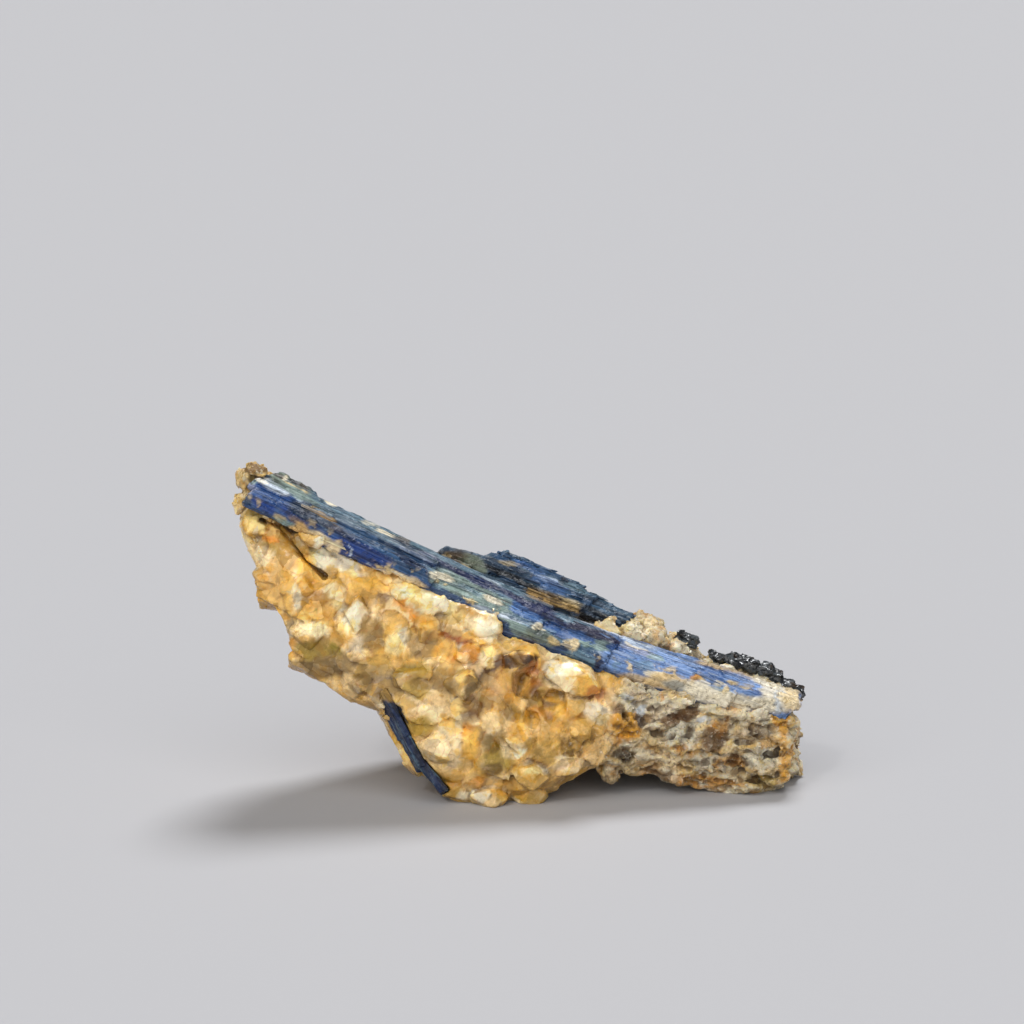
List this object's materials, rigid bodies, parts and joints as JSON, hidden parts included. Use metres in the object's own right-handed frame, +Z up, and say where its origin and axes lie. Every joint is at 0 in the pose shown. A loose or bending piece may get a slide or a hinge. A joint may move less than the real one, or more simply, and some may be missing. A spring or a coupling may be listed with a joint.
{
  "type": "kyanite blade cluster",
  "caption": "Long blue kyanite blades with a slanting top face, grown on a wedge of iron-stained quartz, with small black crystals at the low end.",
  "frame": {"origin": "middle of the outline seen from above, at the height of the surface the specimen stands on", "axes": "+X to the low end of the blades, +Y away from the face the long front blades show, +Z up"},
  "size_m": [0.0924, 0.0444, 0.0531],
  "materials": {
    "stained_quartz": "broken, iron-stained",
    "blue_kyanite": "pearly, striated",
    "dark_kyanite": "dull, striated",
    "flank_kyanite": "pearly, striated",
    "black_crystal": "glassy"
  },
  "bodies": {
    "root": {"quartz_matrix": "stained_quartz", "front_blades": "blue_kyanite", "back_blades": "dark_kyanite", "flank_blade": "flank_kyanite", "dark_knob": "black_crystal", "dark_ridge": "black_crystal"}
  },
  "joints": []
}
